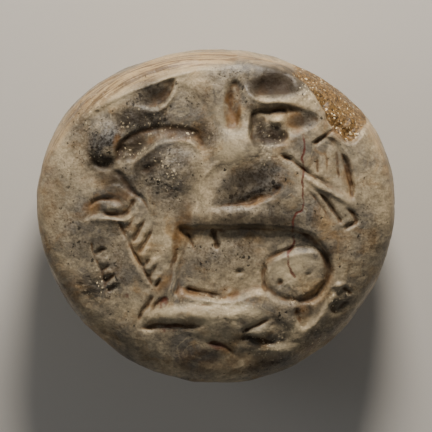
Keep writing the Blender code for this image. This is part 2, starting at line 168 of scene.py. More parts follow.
# Knife cuts: points on the grid, depth share, wall widths to the left and right of the way in
# grid steps, and the shares of the length over which the cut runs out at its start and end, which are
# 0.3 where none are given.
cuts = {
    "horn": ([(-56, 81), (-49, 80), (-42, 81.5), (-36.5, 86.5), (-33, 93), (-29, 101)],
        0.80, (11, 2.6), (0.35, 0.2)),
    "maneArch": ([(-70, 48.5), (-66, 55.5), (-58, 61), (-49.5, 64), (-40.5, 66), (-32, 65), (-23, 64),
        (-14.5, 62), (-10.5, 55.5), (-9, 47), (-7, 37)], 0.28, (8, 5), (0.4, 0.3)),
    "shoulderPit": ([(-54, 34.5), (-47.5, 36), (-42, 39.5), (-38.5, 43)], 0.42, (6, 2.2)),
    "underHead": ([(-92, 50), (-88, 44), (-82.5, 39.5), (-75.5, 39), (-70.5, 43)],
        0.42, (9, 5), (0.4, 0.3)),
    "behindHead": ([(-73.5, 39), (-70, 45), (-69, 51.5), (-68, 57)], 0.36, (3, 4), (0.3, 0.4)),
    "throat": ([(-77, 37.5), (-70, 33.5), (-64.5, 27.5), (-59, 20.5), (-52.5, 16), (-47, 8), (-45.5, 0)],
        0.44, (2, 3), (0.2, 0.45)),
    "cheek": ([(-79, 25), (-71.5, 27), (-63.5, 25), (-59, 19.5)], 0.16, (3.5, 2.5), (0.3, 0.2)),
    "mouthCorner": ([(-92, 6.5), (-88, 11.5), (-84, 14.5), (-76, 15.5), (-68, 15)],
        0.46, (5, 2.8), (0.25, 0.4)),
    "mouth": ([(-81, 9), (-75.5, 4.5), (-68.5, 4), (-62.5, 7.5), (-59, 13.5), (-56.5, 18.5)],
        0.48, (2.6, 2.5), (0.2, 0.2)),
    "jaw": ([(-95, 0), (-86, 4), (-75, 5.5), (-64, 5), (-57, 11)], 0.36, (24, 3)),
    "wingFront": ([(-69.5, 2), (-65, -8), (-60, -18.5), (-54.5, -29.5), (-49, -39.5), (-43.5, -49.5)],
        0.5, (2.8, 2.4), (0.12, 0.2)),
    "foreleg": ([(-24, 9), (-24.5, -2), (-26.5, -11), (-28.5, -21.5), (-31, -32), (-33, -44.5), (-35, -50)],
        0.52, (3, 6), (0.4, 0.2)),
    "tasselOne": ([(-21, -7.5), (-17.5, -16.5), (-14.5, -22.5)], 0.36, (2.4, 2), (0.2, 0.4)),
    "tasselTwo": ([(-3.5, -4), (-0.5, -13), (0.5, -21)], 0.5, (4, 2.8), (0.2, 0.25)),
    "back": ([(-1.5, 10), (8.5, 11.5), (19, 11.5), (28, 14.5), (38, 18.5), (47, 25)],
        0.72, (8, 2.4), (0.35, 0.12)),
    "bankTop": ([(-25, -48.5), (-18, -50), (-9, -52), (0, -54), (7, -55)], 0.55, (4.5, 3), (0.15, 0.3)),
    "bankEdge": ([(-19.5, -56.5), (-11, -58.5), (-2, -59), (7, -59), (12.5, -56)], 0.3, (1.8, 1.5)),
    "bankFoot": ([(-8, -70), (8, -69), (22, -72), (34, -66)], 0.14, (5, 4), (0.4, 0.4)),
    "footFront": ([(-56.5, -74), (-52.5, -65.5), (-47.5, -57), (-44, -52)], 0.42, (2.4, 2.2), (0.3, 0.2)),
    "footBack": ([(-47.5, -67.5), (-43.5, -61), (-39, -56.5), (-35, -53)], 0.52, (3.2, 2.6), (0.4, 0.15)),
    "footSole": ([(-57.5, -76), (-47.5, -76.5), (-37, -75), (-26.5, -74), (-16, -74.5), (-7.5, -73)],
        0.45, (5, 2.4), (0.25, 0.2)),
    "lowMarkOne": ([(15, -84), (22.5, -83), (31, -85), (40, -86.5), (47, -85.5)],
        0.5, (5, 2.6), (0.15, 0.4)),
    "lowMarkTwo": ([(-7, -86.5), (-1.5, -87), (5.5, -90), (11, -94), (14, -97)],
        0.48, (4.5, 2.6), (0.2, 0.35)),
    "lowMarkThree": ([(19.5, -78), (26.5, -74.5), (33.5, -71), (41, -69)], 0.46, (3.6, 2.4), (0.1, 0.4)),
    "hindLoop": ([(71, -16.5), (64, -18), (56, -18.5), (47, -21.5), (39, -26), (34.5, -33), (33, -41.5),
        (35, -50.5), (37.5, -60), (39, -69)], 0.32, (1.6, 3), (0.4, 0.4)),
    "haunch": ([(57, -6.5), (65, -9.5), (71.5, -15), (75.5, -21.5), (78.5, -29.5), (79, -39)],
        0.34, (3, 6.5), (0.2, 0.3)),
    "hindFoot": ([(54.5, -59), (61.5, -58.5), (68.5, -55), (74, -49.5), (78.5, -42.5)],
        0.32, (2.6, 5), (0.15, 0.3)),
    "hindHeel": ([(55.5, -61), (57, -69), (59.5, -76)], 0.4, (3.5, 2.2), (0.3, 0.4)),
    "cornerMarkOne": ([(88, -47), (92.5, -50.5), (96.5, -53)], 0.4, (2.6, 2.6), (0.2, 0.3)),
    "cornerMarkTwo": ([(80, -58.5), (82.5, -64.5), (86, -68)], 0.38, (2.6, 2.6), (0.2, 0.3)),
    "cornerMarkThree": ([(85.5, -64.5), (89.5, -60.5), (94, -58.5)], 0.4, (2.6, 2.6), (0.2, 0.3)),
    "combSpine": ([(-88, -12), (-87, -20), (-84.5, -27.5), (-81, -35), (-79, -43), (-77, -50)],
        0.34, (2.6, 2.4), (0.15, 0.2)),
    "combHook": ([(-84.5, -24), (-80, -19.5), (-76.5, -21.5)], 0.42, (2.2, 2.2), (0.1, 0.4)),
    "figureBack": ([(11, 94), (9, 85), (10.5, 75.5), (14, 68)], 0.4, (4.5, 4)),
    "figureArm": ([(22.5, 93), (28, 90), (36.5, 89), (47, 89.5), (56, 89.5)],
        0.68, (18, 2.2), (0.3, 0.25)),
    "figureWaist": ([(25.5, 79.5), (35, 79), (43.5, 78.5), (52, 78.5), (61, 78), (68, 76)],
        0.12, (4.5, 5.5), (0.1, 0.4)),
    "wingRoot": ([(40.5, 47.5), (47, 44.5), (52.5, 42.5), (59.5, 37), (70, 30), (82, 21.5), (94, 13.5)],
        0.58, (3.6, 2.6), (0.15, 0.35)),
    "wingNick": ([(67, 53.5), (74, 59), (82, 65.5)], 0.58, (1.5, 1.5), (0.15, 0.15)),
    "wingEdge": ([(87, 48.5), (90.5, 41.5), (93, 31), (95, 20.5), (96, 15)], 0.5, (2.4, 4.5), (0.25, 0.15)),
    "wingRibOne": ([(69.5, 46), (70, 38), (70.5, 32)], 0.50, (1.8, 1.8), (0.2, 0.3)),
    "wingRibTwo": ([(75, 54), (76.5, 41.5), (77.5, 29)], 0.36, (1.8, 1.8)),
    "wingRibThree": ([(83.5, 50), (84.5, 38), (85.5, 25.5)], 0.42, (2, 2)),
    "tailUpper": ([(61.5, 25.5), (69, 16.5), (76.5, 6), (82.5, -5)], 0.36, (2.2, 2.2), (0.3, 0.25)),
    "tailLower": ([(70, 22), (76.5, 14.5), (82.5, 5), (88, -3)], 0.62, (3, 3), (0.3, 0.1)),
    "tailEnd": ([(89, 10), (94.5, 5), (98, -1), (92.5, -4.5), (87, -6.5)], 0.46, (2.5, 2.8), (0.3, 0.15)),
    "chipSplinter": ([(80.5, 63), (89, 57), (96.5, 53)], 0.15, (1.2, 1.2), (0.2, 0.4)),
}
# Straight cuts in rows: foot and tip of each
feathers = [((-65, -7), (-55, 9)), ((-60.5, -16), (-48, 5)), ((-56.5, -24.5), (-43, -1.5)),
            ((-52, -33.5), (-47.5, -25)), ((-48.5, -41), (-42.5, -29.5)), ((-44, -48), (-39.5, -41))]
teeth = [((-84.5, -24), (-79, -20)), ((-81, -36), (-74, -29.5)), ((-79, -43), (-70, -36.5)),
         ((-77, -50), (-68, -44.5))]
straightCut = {"depth": 0.42, "walls": (2.2, 2.0), "runOut": (0.2, 0.4)}
# Ribs standing between the straight cuts, foot and tip
ribs = [((-62.5, -12), (-52, 6)), ((-58, -20), (-46, 1.5)), ((-53, -27), (-48, -16)),
        ((-50, -37), (-42, -24)), ((-45.5, -45), (-39, -35)),
        ((-82, -30), (-76, -25)), ((-79.5, -39.5), (-72, -33.5)), ((-77.5, -46.5), (-69, -41))]
rib = {"height": 0.20, "walls": (3.4, 3.4), "runOut": (0.3, 0.3)}

# Edges left standing, in the terms of the cuts
ridges = {
    "hornLip": ([(-54.5, 78), (-48, 77), (-40.5, 78.5), (-35, 83), (-31, 89), (-27.5, 95)],
        0.22, (2.5, 4), (0.3, 0.4)),
    "shoulderRim": ([(-61.5, 36), (-54.5, 44), (-47.5, 50), (-40.5, 55), (-32, 57), (-21, 57),
                     (-14, 52.5), (-10.5, 43)], 0.26, (2.4, 5), (0.2, 0.3)),
    "figureShelf": ([(20, 90), (28, 86), (36.5, 84.5), (47, 84.5), (57, 85)], 0.24, (2.4, 3)),
    "jawLip": ([(-94, -1), (-85, 1.5), (-75, 2.5), (-65, 2), (-58, 6), (-53, 13)], 0.24, (2.5, 6)),
    "wingSpar": ([(61, 33), (71.5, 26), (84, 18), (96, 10)], 0.3, (3.5, 4.5)),
    "hipLip": ([(-9, 32), (-4, 38), (3, 43)], 0.2, (3, 4), (0.4, 0.4)),
    "heelLip": ([(57, -79), (66, -77), (75, -66), (82, -54), (87, -46)], 0.28, (3.5, 5)),
    "neckFold": ([(-66, -4), (-60, -20), (-54, -34), (-47, -49)], 0.16, (1.5, 7), (0.2, 0.3)),
    "legFold": ([(-21, 16), (-20.5, 8), (-20.5, 0)], 0.2, (3, 3), (0.4, 0.4)),
    "bankCrest": ([(-42, -70), (-32, -64), (-20, -63), (-4, -67), (12, -66), (30, -59)], 0.14, (6, 7)),
    "rimCrest": ([(-107, 58), (-98, 70), (-85, 79.5), (-66, 88.5), (-47, 96), (-28, 102.5), (-8, 107)],
        0.26, (2, 3.2), (0.2, 0.3)),
}
# The top left of the rim is ground away in a band outside the crest
rimBand = {"outline": [(-116, 50), (-106, 60), (-97, 71.5), (-84, 81), (-65, 90), (-46, 97.5), (-27, 104),
                       (-7, 108), (14, 112), (10, 126), (-50, 126), (-106, 104), (-128, 60)],
           "depth": 0.42, "wall": 3}

# Sunk fields: closed outline on the grid, depth share, width of the sloping wall
fields = {
    "nape": ([(-28, 95), (-18, 92), (-10, 85), (-3.5, 75.5), (0, 64), (-3, 55.5), (-9, 50), (-12.5, 59),
        (-23, 62.5), (-37, 65), (-40.5, 71), (-37, 78), (-32, 86.5)], 0.20, 5),
    "maneHollow": ([(-70, 48.5), (-67, 57), (-58, 62.5), (-47.5, 66), (-36, 67.5), (-24, 66.5), (-14, 63.5),
        (-8.5, 56), (-11, 52.5), (-18, 58.5), (-28, 60.5), (-40.5, 58.5), (-47.5, 53),
        (-56, 46), (-63, 42), (-68.5, 40.5)], 0.36, 4),
    "underBelly": ([(-24, -4.5), (-12.5, -4), (15.5, -4), (43.5, -4), (59, -6.5), (70, -14.5), (77, -25),
        (80, -36.5), (76.5, -47), (68.5, -55.5), (57.5, -59), (45.5, -56.5), (31, -49.5),
        (15.5, -53.5), (5, -55), (-9, -53), (-25, -49.5), (-29.5, -50), (-28, -29.5),
        (-24.5, -14.5)], 0.72, 5),
    "figureHollow": ([(6.5, 66), (5.5, 80), (7, 92), (12.5, 98), (16, 93.5), (14.5, 80), (15.5, 71),
        (12.5, 65.5)], 0.5, 4.5),
    "figureBox": ([(23.5, 58), (23.5, 68), (24, 77), (36, 78), (48, 78), (49.5, 68), (49, 56), (36, 54.5)],
        0.48, 2.4),
    "figurePocket": ([(49.5, 78), (58, 78), (67, 75), (71, 71), (64.5, 67), (57.5, 62.5),
        (50.5, 61.5)], 0.36, 5),
    "wing": ([(68, 54.5), (78.5, 59), (87, 50), (92.5, 38), (96, 20.5), (94, 15), (82, 23), (68.5, 32),
        (65, 41.5)], 0.28, 3.5),
    "heelFacet": ([(56, -62), (64.5, -60.5), (66, -69), (61, -77.5), (57.5, -71.5)], 0.3, 4),
    "rump": ([(41, -69), (52, -76), (52, -89), (45, -88), (42, -79)], 0.22, 6),
}
standing = {
    "thigh": ([(36.5, -29.5), (45.5, -24), (57.5, -21.5), (70, -21.5), (76.5, -29.5), (77, -39),
        (71.5, -47), (63, -53.5), (50.5, -55), (40, -50.5), (35, -41)], 0.36, 4.5),
}
# The flake lost from the upper right edge runs out past the rim
chipEdge = {
    "outline": [(46, 110), (55, 103), (61.5, 96), (68.5, 88.5), (74, 79.5), (79, 69.5), (86, 60), (94, 55),
                (101, 60.5), (108, 68), (126, 76), (108, 108), (78, 124), (50, 122)],
    "wall": 5, "middle": (76, 88), "way": (-0.74, 0.67), "halfLength": 37,    # grid steps along the rim
    "drop": 2.0, "rise": 2.6, "fade": 0.5,  # mm under the girdle in the middle, rise to the ends, edge
    "sunkFrom": 0.6, "sunkOver": 2.2,       # mm over the girdle
}

# Soft swellings: middle, half lengths in grid steps, turn in degrees if any, height share (minus is a pit)
swellings = {
    "shoulder": ((-32, 37), (28, 21), -5, 0.55),
    "head": ((-80.5, 56), (14, 19), 0.55),
    "headFacet": ((-66, 44), (6.5, 6), 20, 0.30),
    "muzzle": ((-72, 10), (8.5, 4.6), 0.38),
    "cheekLobe": ((-73, 25), (14, 9), -10, 0.12),
    "boxLump": ((41.5, 70.5), (7, 5), 0.60),
    "boxColumn": ((45.5, 65), (3.5, 7), 0.3),
    "hip": ((14, 53), (22, 18), 25, 0.60),
    "figureFlank": ((22, 89), (6, 11), 25, 0.32),
    "flank": ((19, 3.5), (46, 9), 0.20),
    "hornHollow": ((-48, 86), (15, 8), 12, -0.14),
    "backHollow": ((22, 24), (30, 13), 30, -0.30),
    "tasselHollow": ((8, -28), (34, 22), 0.25),
    "cheekHollow": ((-88, 33), (14, 12), -0.20),
    "lowHollow": ((8, -98), (30, 9), 4, -0.20),
    "foot": ((-30, -66), (26, 9), 4, 0.32),
    "bank": ((3, -70), (38, 17), -2, 0.46),
    "bankRight": ((31, -66), (18, 13), 10, 0.2),
    "lowLump": ((31, -78.5), (12, 5), 15, 0.28),
    "lowLumpTwo": ((37, -92.5), (13, 6), 8, 0.24),
    "cornerLump": ((86, -45.5), (4.5, 3.5), 0.4),
    "cornerHill": ((88, -56), (7, 4), -20, 0.2),
    "rustBlob": ((8, -51.5), (4.5, 4), 0.28),
    "neckHollow": ((-77, -26), (13, 30), -12, -0.2),
    "armHollow": ((38.5, 95), (17, 8), -0.22),
    "tasselPit": ((-0.5, -18), (2.8, 2.8), -0.3),
    "bellyPit": ((16, -36), (4.2, 1.9), -0.34),
    "thighPit": ((45, -44.5), (3, 3), -0.32),
    "thighDot": ((64.5, -38), (1.7, 1.7), -0.2),
    "wingPit": ((49, 44), (4, 3), -20, -0.28),
    "lowPit": ((19.5, -77), (3, 3), -0.25),
    "chestPit": ((-48, -48), (3, 3), -0.15),
}

# Where the stone is rough and pitted: middle, half lengths in grid steps, turn in degrees if any, strength
roughSpots = [
    ((-38, 34), (17, 17), 0.8), ((34, 47), (10, 9), 0.8), ((-84, -46), (17, 15), 1.0),
    ((55, -51), (11, 9), 1.0), ((86, -57), (11, 14), 1.0), ((68, -86), (14, 10), 30, 0.9),
    ((-86, 77), (22, 15), 40, 0.5), ((-54, 70), (22, 12), 0.5), ((37, 62), (12, 10), 0.6),
    ((-20, 62), (20, 8), 0.5), ((-60, 52), (12, 10), 0.6), ((20, -83), (18, 8), 0.4),
    ((-62, -4), (8, 8), 0.7), ((-84, 45), (12, 9), 0.5), ((2, -60), (34, 9), -4, 0.7),
    ((48, -84), (34, 18), 20, 0.7), ((66, 88), (14, 8), -50, 0.8), ((-30, -66), (20, 8), 4, 0.35),
]
# Grey veins and speckled patches, in the same terms
greyStains = [
    ((22, 23), (32, 17), 32, 1.0), ((-36, 36), (30, 22), 0.75), ((40, 95), (28, 11), -4, 0.8),
    ((36, 60), (13, 10), 0.9), ((-78, 56), (15, 20), 1.15), ((-50, 87), (20, 11), 15, 0.85),
    ((-52, 72), (22, 13), 0.95), ((64, 73), (10, 7), 0.8), ((-30, 20), (18, 18), 0.5),
    ((6, 104), (18, 7), 0.7), ((22, 90), (9, 14), 20, 0.7), ((-18, 84), (16, 14), 0.4),
    ((-84, 45), (16, 12), 0.7), ((48, -66), (30, 9), 20, 0.45), ((42, -104), (26, 9), 12, 0.7),
    ((-92, -20), (20, 18), 0.45), ((-72, -28), (14, 26), 0.5), ((38, 6), (16, 9), 0.7),
    ((-4, 62), (8, 14), 0.5), ((100, 0), (16, 40), 0.3), ((76, -84), (22, 10), 40, 0.5),
    ((-98, 62), (12, 22), 0.35), ((-60, 30), (14, 12), -40, 0.8), ((64, 6), (10, 16), 0.4),
    ((4, -24), (34, 14), 0.5), ((-104, 10), (16, 40), 0.4), ((-6, -72), (24, 9), 0.35),
    ((-48, 43), (9, 6), 35, 1.3),
]
# Clean pale stone, and a painted highlight along the crest of the rim at the top left, in the same terms
paleAndHighlightStains = [
    ((6, -66), (36, 12), -3, 1.4), ((14, 53), (20, 14), 25, 0.8), ((-30, -66), (22, 8), 4, 1.0),
    ((55, -34), (18, 14), 1.4), ((92, 20), (14, 40), 0.5), ((-108, 30), (12, 40), 0.4),
    ((-72, 84), (30, 5), 30, 0.8), ((60, -74), (16, 10), 30, 0.8), ((34, -80), (16, 8), 15, 0.7),
    ((-20, 104), (40, 5), 10, 0.7), ((0, 74), (10, 16), 0.5), ((38, -94), (26, 8), 10, 0.7),
    ((41.5, 70.5), (7, 5), 0.8), ((-4, -80), (24, 7), 0.6), ((-40, -90), (18, 9), -10, 0.4),
]
# Brown soil and rust held on the surface, and red residue, in the same terms
rustStains = [
    ((11, 80), (7, 16), 1.3), ((55, 69), (7, 9), 1.3), ((8, -51), (9, 6), 1.0),
    ((-27, -10), (5, 20), -8, 1.0), ((-88, 10), (8, 7), 30, 0.9), ((-70, 54), (4, 9), 0.9),
    ((-20, -51), (13, 4), -8, 0.8), ((26, 14), (10, 4), 18, 1.0), ((-24, 62), (18, 6), -6, 1.2),
    ((79, -34), (5, 16), 0.9), ((-48, 60), (14, 6), 10, 1.0), ((-40, -44), (9, 9), 0.7),
    ((20, -102), (34, 9), 6, 0.6), ((-14, -100), (26, 12), 0.55), ((-22, 2), (6, 18), 0.7),
    ((84, 64), (16, 10), -40, 0.6), ((60, -66), (7, 9), 0.8), ((-100, 84), (18, 12), 55, 0.5),
    ((-118, 20), (9, 50), 0.45), ((70, -92), (22, 9), 30, 0.6), ((-66, 18), (12, 8), -20, 0.6),
    ((44, 79), (20, 5), 0.9), ((92, 30), (6, 18), 8, 0.7), ((-102, -50), (14, 20), 30, 0.5),
    ((-80, 29), (14, 8), 0.5), ((-8, 88), (14, 8), -40, 0.3), ((-30, -70), (20, 5), 4, 0.4),
]
# Dark olive-brown grime and painted shade in the recesses and on slopes turned from the light, in the same
# terms
shadeAndGrimeStains = [
    ((40, 97), (26, 12), 1.6), ((28, 66), (7, 14), 1.8), ((37, 60), (14, 7), 1.8),
    ((40, 79), (22, 5), 1.2),
    ((-55, 71), (24, 11), -5, 1.0), ((-80, 42), (14, 9), 1.1), ((-68, 29), (21, 11), -15, 0.9),
    ((-48, 41), (17, 9), 35, 1.2), ((-46, 88), (17, 9), 12, 1.0), ((-9, 61), (8, 12), 0.8),
    ((-88, -46), (14, 13), 0.7), ((36, -105), (20, 8), 8, 0.7), ((78, -32), (6, 20), 0.7),
    ((20, 27), (28, 14), 32, 0.9), ((-84, 54), (14, 16), 0.6), ((60, 70), (13, 6), 1.0),
    ((-58, 54), (19, 10), 35, 1.5), ((86, -58), (12, 9), 0.6), ((24, -84), (18, 5), 0.7),
    ((-24, 14), (9, 16), 0.6), ((24, 1), (50, 8), 1.0), ((-62, -96), (40, 14), -38, 0.5),
    ((-80, -12), (26, 24), 0.45), ((-76, -40), (18, 22), 0.36), ((-18, 84), (24, 18), 0.25),
    ((-28, 34), (26, 18), 0.45), ((-28, 63), (21, 6), -3, 1.4), ((44, 8), (18, 12), 10, 0.7),
    ((10, -26), (42, 18), 0.30), ((-96, 66), (16, 16), 30, 0.4), ((-44, 12), (16, 26), -20, 0.35),
]
redStains = [((-35, -76), (11, 3.5), 4, 1.0), ((-38, -57), (6, 4), 48, 1.2), ((2, -89), (12, 4.5), -14, 0.9),
             ((-64, -53), (3, 3), 0.9), ((88, 60), (14, 2), -30, 0.6)]
patchLists = {"rough": roughSpots, "greyStain": greyStains, "paleAndHighlightStain": paleAndHighlightStains,
              "rustStain": rustStains, "shadeAndGrimeStain": shadeAndGrimeStains, "redStain": redStains}
crack = {"path": [(60, 61), (60.5, 52), (59, 44), (60.5, 36), (60, 24), (61, 10), (56, 5.5), (53.5, -1.5),
        (53, -10.5), (54.5, -16), (50.5, -22.5), (51, -31.5), (54.5, -40.5)],
         "width": 1.5, "depth": 0.14}  # grid steps, share of the carving's depth


def smoothLine(points, closed=False, steps=8):
    # Catmull-Rom curve: each stretch is the cubic through two points with slopes from their neighbours
    p = np.array(points, float)
    if closed:
        q = np.vstack([p[-1], p, p[0], p[1]])
    else:
        q = np.vstack([2 * p[0] - p[1], p, 2 * p[-1] - p[-2]])
    t = np.linspace(0, 1, steps, endpoint=False)[None, :, None]
    a, b, c, d = (q[k:len(q) - 3 + k][:, None, :] for k in range(4))
    curve = 0.5 * (2 * b + (c - a) * t + (2 * a - 5 * b + 4 * c - d) * t**2
                   + (3 * b - a - 3 * c + d) * t**3)
    return np.vstack([curve.reshape(-1, 2), p[:1] if closed else p[-1:]])


def ease(t):
    # smooth step: 3 t squared less 2 t cubed, between 0 and 1
    t = np.clip(t, 0, 1)
    return t * t * (3 - 2 * t)


def within(x, y, line, reach):
    low, high = line.min(0) - reach, line.max(0) + reach
    return (x > low[0]) & (x < high[0]) & (y > low[1]) & (y < high[1])


def distanceTo(x, y, line):
    # nearest point on each straight piece by projection: distance, share of the length, left side
    start, step = line[:-1], np.diff(line, axis=0)
    length = np.hypot(*step.T)
    px, py = x[:, None] - start[:, 0], y[:, None] - start[:, 1]
    t = np.clip((px * step[:, 0] + py * step[:, 1]) / np.maximum(length**2, 1e-12), 0, 1)
    qx, qy = px - t * step[:, 0], py - t * step[:, 1]
    away = np.hypot(qx, qy)
    nearest = away.argmin(1)
    row = np.arange(len(x))
    side = step[nearest, 0] * qy[row, nearest] - step[nearest, 1] * qx[row, nearest]
    along = np.concatenate([[0], np.cumsum(length)])
    share = (along[nearest] + t[row, nearest] * length[nearest]) / along[-1]
    return away[row, nearest], share, side > 0


def isInside(x, y, line):
    # odd number of edges crossed by a ray to the right
    crossings = np.zeros(len(x), int)
    for (x0, y0), (x1, y1) in zip(line[:-1], line[1:]):
        if y0 != y1:
            spans = (y0 > y) != (y1 > y)
            crossings += spans & (x < x0 + (x1 - x0) * (y - y0) / (y1 - y0))
    return crossings % 2 == 1


def cutDepth(x, y, points, depth, walls, runOut=(0.3, 0.3)):
    # depth falls with the distance from the line as 1 - ease((distance / wall) ** roundness)
    line = smoothLine(points)
    near = within(x, y, line, max(walls))
    away, share, left = distanceTo(x[near], y[near], line)
    least, narrowest, power = knife.values()
    full = least + (1 - least) * ease(share / runOut[0]) * ease((1 - share) / runOut[1])
    wall = np.where(left, *walls) * (narrowest + (1 - narrowest) * full)
    result = np.zeros_like(x)
    result[near] = depth * full * (1 - ease((away / wall)**power))
    return result


def fieldDepth(x, y, outline, depth, wall):
    # flat floor inside the outline, with a smooth step of the wall's width across it
    line = smoothLine(outline, closed=True)
    near = within(x, y, line, wall)
    away = distanceTo(x[near], y[near], line)[0]
    signed = np.where(isInside(x[near], y[near], line), away, -away)
    result = np.zeros_like(x)
    result[near] = depth * ease(signed / wall + 0.5)
    return result


def swelling(x, y, middle, halfLengths, *turnAndRise):
    # rise times (1 - distance squared) ** 1.5 in an ellipse; the turn may be left out
    *turn, rise = turnAndRise
    a = np.radians(sum(turn))
    dx, dy = x - middle[0], y - middle[1]
    u = (dx * np.cos(a) + dy * np.sin(a)) / halfLengths[0]
    v = (dy * np.cos(a) - dx * np.sin(a)) / halfLengths[1]
    return rise * np.clip(1 - u * u - v * v, 0, 1)**1.5


def latticeNoise(points, size, seed):
    # random values on a cubic lattice, blended between the eight corners with the smooth step
    q = points / size
    base = np.floor(q).astype(np.int64)
    f = q - base
    f = f * f * (3 - 2 * f)
    total = np.zeros(len(points))
    for corner in range(8):
        bits = np.array([corner & 1, corner >> 1 & 1, corner >> 2 & 1])
        i, j, k = (base + bits).T
        h = (i * 73856093) ^ (j * 19349663) ^ (k * 83492791) ^ (seed * 2654435761)
        h = (h ^ (h >> 13)) * 1274126177 & 0x7FFFFFFF
        h = (h ^ (h >> 16)) & 0xFFFF
        total += h / 32767.5 * np.prod(np.where(bits, f, 1 - f), axis=1)
    return total - 1


def layeredNoise(points, size, layers, seed):
    # each layer has half the size and half the strength of the one before
    return sum(latticeNoise(points, size / 2**k, seed + k) / 2**k for k in range(layers))


def worn(name, points, seed, layers=2):
    # the noise of one kind of wear, times its strength
    strength, size = wear[name]
    return strength * layeredNoise(points, size, layers, seed)


def patchShare(x, y, patches):
    # the strongest of the patches, each a swelling's form flattened by a power
    share = np.zeros_like(x)
    for *ellipse, strength in patches:
        share = np.maximum(share, strength * swelling(x, y, *ellipse, 1)**wear["patchFlatness"])
    return share


def outline(angle):
    # an oval times 1 + three corners + two quarters + a full heel
    heel = np.clip(np.cos(angle - np.radians(stone["heelAngle"])), 0, 1)**6
    wave = (1 + stone["threeCorners"] * np.sin(3 * angle) - stone["twoQuarters"] * np.sin(2 * angle)
            + stone["heelFullness"] * heel)
    return sealSize[0] / 2 * wave * np.cos(angle), sealSize[1] / 2 * wave * np.sin(angle)


def shoulderPower(angle):
    # from the left's power to the top's as (half and half the cosine of the turn away) ** spread
    share = (0.5 + 0.5 * np.sin(angle - np.radians(stone["squarestAt"] - 90)))**stone["squareSpread"]
    return stone["leftShoulder"] * (stone["topShoulder"] / stone["leftShoulder"])**share


def aboveGirdle(share, power):
    # superellipse height: rise times (1 - share ** power) ** (1 / power), and the crown over it
    rise = sealSize[2] - stone["faceCrown"] - stone["girdleHeight"]
    return rise * np.clip(1 - share**power, 0, 1)**(1 / power) + stone["faceCrown"] * (1 - share**2)


def plainStone():
    # a square grid bent to a disc for the face, then bands over the shoulder and round the back
    n = stone["faceRings"]
    u, v = np.meshgrid(np.linspace(-1, 1, 2 * n + 1), np.linspace(-1, 1, 2 * n + 1))
    ring = np.maximum(np.abs(u), np.abs(v))
    flat = np.abs(u) >= np.abs(v)
    along = np.pi / 4 * np.where(flat, v, u) / np.where(ring == 0, 1, ring)
    angle = np.where(flat, np.where(u >= 0, along, np.pi - along),
                     np.where(v >= 0, np.pi / 2 - along, along - np.pi / 2))
    share = ring * stone["rimShare"]
    ox, oy = outline(angle)
    z = stone["girdleHeight"] + aboveGirdle(share, shoulderPower(angle))
    points = [np.stack([ox * share, oy * share, z], -1).reshape(-1, 3)]
    index = np.arange((2 * n + 1)**2).reshape(2 * n + 1, 2 * n + 1)
    quads = [np.stack([index[:-1, :-1], index[:-1, 1:], index[1:, 1:], index[1:, :-1]], -1).reshape(-1, 4)]

    rim = np.concatenate([index[0, :-1], index[:-1, -1], index[-1, :0:-1], index[:0:-1, 0]])
    rimAngle = angle.reshape(-1)[rim]
    ox, oy = outline(rimAngle)
    power = shoulderPower(rimAngle)
    full = stone["backFullness"]
    domeShare = (1 - (stone["flatSpotWidth"] / sealSize[0])**full)**(1 / full)
    start = np.arccos(stone["rimShare"]**(power / 2))
    end = np.arcsin(domeShare**(full / 2))
    last, count = rim, len(points[0])
    for k in range(1, stone["shoulderBands"] + stone["backBands"] + 1):
        if k <= stone["shoulderBands"]:
            turn = start * (1 - k / stone["shoulderBands"])**3  # keeps the bands of the wall even
            share = np.cos(turn)**(2 / power)
            z = stone["girdleHeight"] + aboveGirdle(share, power)
        else:
            turn = end * (k - stone["shoulderBands"]) / stone["backBands"]
            share = np.full(len(rim), np.cos(turn)**(2 / full))
            z = np.full(len(rim), stone["girdleHeight"] * (1 - np.sin(turn)**(2 / full) / domeShare))
        points.append(np.stack([ox * share, oy * share, z], -1))
        band = count + np.arange(len(rim))
        quads.append(np.stack([last, band, np.roll(band, -1), np.roll(last, -1)], -1))
        last, count = band, count + len(rim)
    points = np.vstack(points)
    points[last, 2] = 0
    return points, np.vstack(quads), last


def vertexNormals(points, quads):
    # sum of the crossed diagonals of the quads round each vertex
    a, b, c, d = (points[quads[:, k]] for k in range(4))
    face = np.cross(c - a, d - b)
    normal = np.zeros_like(points)
    for k in range(4):
        np.add.at(normal, quads[:, k], face)
    return normal / np.maximum(np.linalg.norm(normal, axis=1), 1e-9)[:, None]


def averaged(grid, passes):
    # each pass gives every point half its own height and an eighth of each neighbour's
    for _ in range(passes):
        wide = np.pad(grid, 1, mode="edge")
        grid = grid / 2 + (wide[:-2, 1:-1] + wide[2:, 1:-1] + wide[1:-1, :-2] + wide[1:-1, 2:]) / 8
    return grid


def carving(x, y, points):
    # the design's height in millimetres, and the masks of its cuts and crack
    x, y = (value + worn("wander", points, seed, 1) + worn("quiver", points, seed + 1, 1)
            for value, seed in ((x, 50), (y, 60)))
    sunk = np.zeros_like(x)
    for field in fields.values():
        sunk = np.maximum(sunk, fieldDepth(x, y, *field))
    for field in standing.values():
        sunk -= fieldDepth(x, y, *field)
    straight = [([foot, tip], *straightCut.values()) for foot, tip in feathers + teeth]
    cut = np.zeros_like(x)
    for stroke in list(cuts.values()) + straight:
        depth = cutDepth(x, y, *stroke)
        cut = np.maximum(cut, depth) + wear["crossing"] * np.minimum(cut, depth)
    cut *= wear["openDepth"] * (1 + worn("uneven", points, 70, 1))
    raised = sum(swelling(x, y, *lump) for lump in swellings.values())
    raised += sum(cutDepth(x, y, *ridge) for ridge in ridges.values())
    raised += sum(cutDepth(x, y, [foot, tip], *rib.values()) for foot, tip in ribs)
    away = distanceTo(x + worn("crackStray", points, 40), y, smoothLine(crack["path"]))[0]
    split = np.clip(1 - away / crack["width"], 0, 1)
    return stone["carvingDepth"] * (raised - sunk - cut - crack["depth"] * split), cut, split


